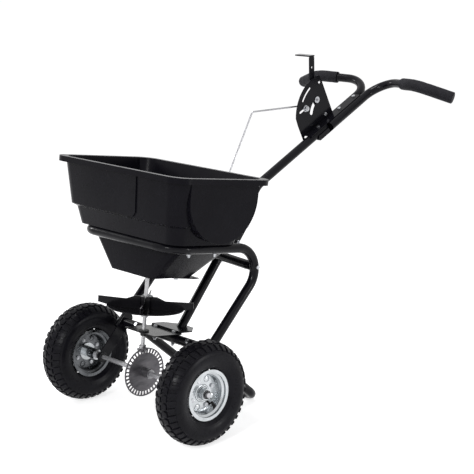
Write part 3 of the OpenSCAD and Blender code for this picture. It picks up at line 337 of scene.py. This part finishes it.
# The gear: a slotted disc of dark zinc plated sheet on a turned hub, and the pinion that it
# turns. The plating is dull, with the grain of the rolled sheet.
gear_metal = finish(
    "gear_sheet", (0.085, 0.082, 0.09), (0.17, 0.165, 0.175), (0.34, 0.5), metal=1,
    cloud=18, grain=600, depth=0.00004, pull=(1, 1, 3),
)
dress("drive_gear", gear_metal, edge=0.0003)
hub_metal = finish(
    "gear_hub_metal", (0.22, 0.22, 0.23), (0.4, 0.4, 0.41), (0.26, 0.42), metal=1,
    cloud=60, grain=800, depth=0.00003,
)
for turned in ("gear_hub", "pinion"):
    dress(turned, hub_metal, edge=0.0004)

# The impeller: a shallow dish with upright fins round a hub, moulded in one from glossy black
# plastic and pinned to the shaft.
gloss_black = finish(
    "impeller_gloss", (0.005, 0.0048, 0.0066), (0.009, 0.0087, 0.0115), (0.13, 0.2),
    cloud=20, grain=500, depth=0.00003, gloss=0.14,
)
dress("impeller", gloss_black, edge=0.0008)

# The tyres: 260 by 80 mm air tyres with a round carcass, a rim guard rib on each side and four
# staggered rows of cleats that hook into each other. Moulded in one from matt black rubber.
rubber = finish(
    "tyre_rubber", (0.0048, 0.0046, 0.0066), (0.009, 0.0087, 0.0122), (0.24, 0.36),
    cloud=22, grain=700, depth=0.00004, gloss=0.1,
)
tyre_lo, tyre_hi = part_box("tyre_right")
tyre_r = (tyre_hi.z - tyre_lo.z) / 2
tyre_half = (tyre_hi.x - tyre_lo.x) / 2
flange_lo, flange_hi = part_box("rim_outer_right")
flange_r = (flange_hi.z - flange_lo.z) / 2
wheel_x = (tyre_lo.x + tyre_hi.x) / 2
cleat_h = 0.0034
cleat_root = 0.001
cleat_taper = 0.84
cleat_hook = 0.24
middle_row_share, edge_row_share = 0.74, 0.66
bead_angle = math.radians(49)
bead_gap = 0.001
wall_t = 0.005
guard_h, guard_at, guard_spread = 0.0011, -0.52, 0.055
shoulder_h, shoulder_at, shoulder_spread = 0.0006, 0.3, 0.02
side_skin = 0.0008
crown_band = 0.01
round_r = (tyre_r + flange_r) / 2
crown_h = tyre_r - cleat_h - round_r
belly_half = tyre_half - side_skin
belly_h = (round_r - flange_r - bead_gap) / math.sin(bead_angle)
cleats_round = 40
cleat_rows = ((77, 0.0, 0.0125), (103, 0.5, 0.0125), (46, 0.5, 0.0175), (134, 0.0, 0.0175))


def on_carcass(angle, proud):
    """Outward distance and radius of a point over the carcass, from the sidewall round to the crown."""
    rise = crown_h if angle > 0 else belly_h
    return (belly_half + proud) * math.cos(angle), round_r + (rise + proud) * math.sin(angle)


def make_tyre(name, side, node):
    """One tyre: the carcass spun from its section and given a wall, and the rows of cleats on it."""
    shell = bmesh.new()
    bmesh.ops.create_circle(shell, cap_ends=False, segments=112, radius=1)
    bmesh.ops.delete(
        shell, geom=[v for v in shell.verts if v.co.y < math.sin(-bead_angle)], context="VERTS",
    )
    for vert in shell.verts:
        angle = math.atan2(vert.co.y, vert.co.x)
        guard = guard_h * math.exp(-(((vert.co.y - guard_at) / guard_spread) ** 2))
        step = shoulder_h / (1 + math.exp(-(vert.co.y - shoulder_at) / shoulder_spread))
        across, high = on_carcass(angle, guard + step - shoulder_h)
        vert.co = (across, 0, high)
    bmesh.ops.spin(
        shell, geom=shell.verts[:] + shell.edges[:], cent=(0, 0, 0), axis=(1, 0, 0), dvec=(0, 0, 0),
        angle=math.tau, steps=120, use_merge=True, use_duplicate=False,
    )
    bmesh.ops.remove_doubles(shell, verts=shell.verts, dist=0.00001)
    bmesh.ops.recalc_face_normals(shell, faces=shell.faces)
    outward = 0
    for face in shell.faces:
        middle = face.calc_center_median()
        if abs(middle.x) < crown_band:
            outward += face.normal.dot(Vector((0, middle.y, middle.z)).normalized())
    if outward < 0:
        bmesh.ops.reverse_faces(shell, faces=shell.faces)
    bmesh.ops.solidify(shell, geom=shell.faces[:], thickness=wall_t)
    cleats = bmesh.new()
    for row, (centre, shift, width) in enumerate(cleat_rows):
        old = set(cleats.verts)
        bmesh.ops.create_grid(cleats, x_segments=3, y_segments=2, size=0.5)
        fresh = [v for v in cleats.verts if v not in old]
        faces = [f for f in cleats.faces if f.verts[0] in fresh]
        top = bmesh.ops.extrude_face_region(cleats, geom=faces)["geom"]
        raised = [v for v in top if isinstance(v, bmesh.types.BMVert)]
        for vert in raised:
            vert.co = (vert.co.x * cleat_taper, vert.co.y * cleat_taper, 1)
        long = math.tau / cleats_round * (middle_row_share if row < 2 else edge_row_share)
        for vert in set(raised) | set(fresh):
            u, v, w = vert.co
            hook = cleat_hook * (1 if row % 2 else -1) * (abs(v) * 2 if row < 2 else v)
            angle = math.radians(centre) + v * width / crown_h
            across, high = on_carcass(angle, cleat_h if w > 0.5 else -cleat_root)
            turn = (u + hook) * long + shift * math.tau / cleats_round
            vert.co = (across, high * math.sin(turn), high * math.cos(turn))
    bmesh.ops.spin(
        cleats, geom=cleats.verts[:] + cleats.edges[:] + cleats.faces[:], cent=(0, 0, 0),
        axis=(1, 0, 0), dvec=(0, 0, 0), angle=math.tau * (cleats_round - 1) / cleats_round,
        steps=cleats_round - 1, use_merge=False, use_duplicate=True,
    )
    bmesh.ops.recalc_face_normals(cleats, faces=cleats.faces)
    cleat_mesh = bpy.data.meshes.new("cleats")
    cleats.to_mesh(cleat_mesh)
    cleats.free()
    shell.from_mesh(cleat_mesh)
    bpy.data.meshes.remove(cleat_mesh)
    if side < 0:
        bmesh.ops.scale(shell, vec=(-1, 1, 1), verts=shell.verts)
        bmesh.ops.reverse_faces(shell, faces=shell.faces)
    bmesh.ops.translate(shell, vec=(side * wheel_x, axle_at.y, axle_at.z), verts=shell.verts)
    shade(shell, 28)
    mesh = bpy.data.meshes.new(name)
    shell.to_mesh(mesh)
    shell.free()
    piece = place_piece(name, mesh, rubber, frame["nodes"][node]["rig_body"], (node,))
    rounding = piece.modifiers.new("edges", "BEVEL")
    rounding.width = 0.0005
    rounding.segments = 1
    rounding.limit_method = "ANGLE"
    rounding.angle_limit = math.radians(40)
    rounding.harden_normals = True


make_tyre("tread_right", 1, "tyre_right")
make_tyre("tread_left", -1, "tyre_left")

# The inner tubes: black butyl rubber, blown up inside the tyres. Only their valve stems show
# through the rims.
tube_rubber = finish(
    "tube_rubber", (0.004, 0.004, 0.004), (0.008, 0.008, 0.009), (0.5, 0.7), gloss=0.15,
)
for inner in ("inner_tube_right", "inner_tube_left"):
    dress(inner, tube_rubber)

# The rims: two pressed and zinc plated halves to a wheel, bolted through the disc round a tube
# hub. The plating shows a fine spangle. The inner halves carry a much darker copy of the same zinc,
# which is painted shade, not a different plating.
rim_zinc = finish(
    "rim_zinc", (0.42, 0.44, 0.45), (0.56, 0.58, 0.6), (0.17, 0.25), metal=1,
    cloud=26, grain=420, depth=0.00001,
)
for rim in ("rim_outer_right", "rim_outer_left", "hub_right", "hub_left"):
    dress(rim, rim_zinc)
# Painted shade: the inner halves get the same zinc as the outer ones, made much darker.
rim_zinc_painted_shade = finish(
    "rim_zinc_inner_painted_shade", (0.08, 0.085, 0.09), (0.17, 0.175, 0.185), (0.22, 0.32), metal=1,
    cloud=26, grain=420, depth=0.00001,
)
for rim in ("rim_inner_right", "rim_inner_left"):
    dress(rim, rim_zinc_painted_shade)

# The pressings in each rim's disc: a raised ring round the hub and four round buttons between
# the bolts. They are part of the sheet, so they stand a little out of it on both sides.
disc_out = 0.0021
ring_r = 0.0195
ring_rise = 0.0022
ring_half = 0.0028
buttons = 4
first_button = 65
button_at = 0.036
button_r = 0.0085
button_rise = 0.003


def press_disc(name, side, face, metal, body):
    """The ring and the buttons on one face of a rim's disc."""
    sheet = bmesh.new()
    bmesh.ops.create_circle(sheet, cap_ends=False, segments=20, radius=1)
    for vert in sheet.verts:
        vert.co = (vert.co.x * ring_rise, 0, ring_r + vert.co.y * ring_half)
    bmesh.ops.spin(
        sheet, geom=sheet.verts[:] + sheet.edges[:], cent=(0, 0, 0), axis=(1, 0, 0), dvec=(0, 0, 0),
        angle=math.tau, steps=64, use_merge=True, use_duplicate=False,
    )
    for i in range(buttons):
        turn = math.radians(first_button + 360 / buttons * i)
        button = bmesh.ops.create_uvsphere(sheet, u_segments=32, v_segments=16, radius=1)["verts"]
        bmesh.ops.scale(sheet, vec=(button_rise, button_r, button_r), verts=button)
        bmesh.ops.translate(
            sheet, vec=(0, button_at * math.cos(turn), button_at * math.sin(turn)), verts=button,
        )
    bmesh.ops.remove_doubles(sheet, verts=sheet.verts, dist=0.00001)
    bmesh.ops.recalc_face_normals(sheet, faces=sheet.faces)
    at_x = side * (wheel_x + face * disc_out)
    bmesh.ops.translate(sheet, vec=(at_x, axle_at.y, axle_at.z), verts=sheet.verts)
    shade(sheet)
    mesh = bpy.data.meshes.new(name)
    sheet.to_mesh(mesh)
    sheet.free()
    place_piece(name, mesh, metal, body)


press_disc("disc_pressing_right_outer", 1, 1, rim_zinc, "drive")
press_disc("disc_pressing_left_outer", -1, 1, rim_zinc, "left_wheel")
# The pressings on the inner faces carry the same painted shade as the inner halves.
press_disc("disc_pressing_right_inner", 1, -1, rim_zinc_painted_shade, "drive")
press_disc("disc_pressing_left_inner", -1, -1, rim_zinc_painted_shade, "left_wheel")

# The grips: thick sleeves of black foam rubber with closed ends, pulled over the bent tube ends.
# The foam is matt, rubbed round at its ends and slightly dented.
foam = finish(
    "grip_foam", (0.012, 0.0115, 0.0145), (0.021, 0.0205, 0.025), (0.55, 0.75),
    cloud=30, grain=1100, depth=0.00025, gloss=0.12,
)
foam_step = 0.0016
rub_passes = 4
dent_depth = 0.0007
dent_size = 0.014


def make_grip(node):
    """A grip's foam in an even skin, its ends rounded by rubbing and its side dented by hands."""
    source = frame["nodes"][node]
    sleeve = bmesh.new()
    sleeve.from_mesh(source.data)
    bmesh.ops.remove_doubles(sleeve, verts=sleeve.verts, dist=weld_gap)
    blank = bpy.data.meshes.new(node + "_blank")
    sleeve.to_mesh(blank)
    sleeve.free()
    carrier = bpy.data.objects.new(node + "_blank", blank)
    bpy.context.scene.collection.objects.link(carrier)
    skin = carrier.modifiers.new("even_skin", "REMESH")
    skin.mode = "VOXEL"
    skin.voxel_size = foam_step
    even = bpy.data.meshes.new_from_object(
        carrier.evaluated_get(bpy.context.evaluated_depsgraph_get())
    )
    bpy.data.objects.remove(carrier)
    bpy.data.meshes.remove(blank)
    foam_shape = bmesh.new()
    foam_shape.from_mesh(even)
    for _ in range(rub_passes):
        bmesh.ops.smooth_vert(
            foam_shape, verts=foam_shape.verts, factor=0.5,
            use_axis_x=True, use_axis_y=True, use_axis_z=True,
        )
    foam_shape.normal_update()
    for vert in foam_shape.verts:
        dent = max(0, noise.noise(vert.co / dent_size))
        vert.co -= vert.normal * dent * dent_depth
    shade(foam_shape, 180)
    foam_shape.to_mesh(even)
    foam_shape.free()
    even.name = node + "_foam"
    grip = place_piece(node + "_foam", even, foam, source["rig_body"], (node,))


for grip_node in ("grip_right", "grip_left"):
    make_grip(grip_node)
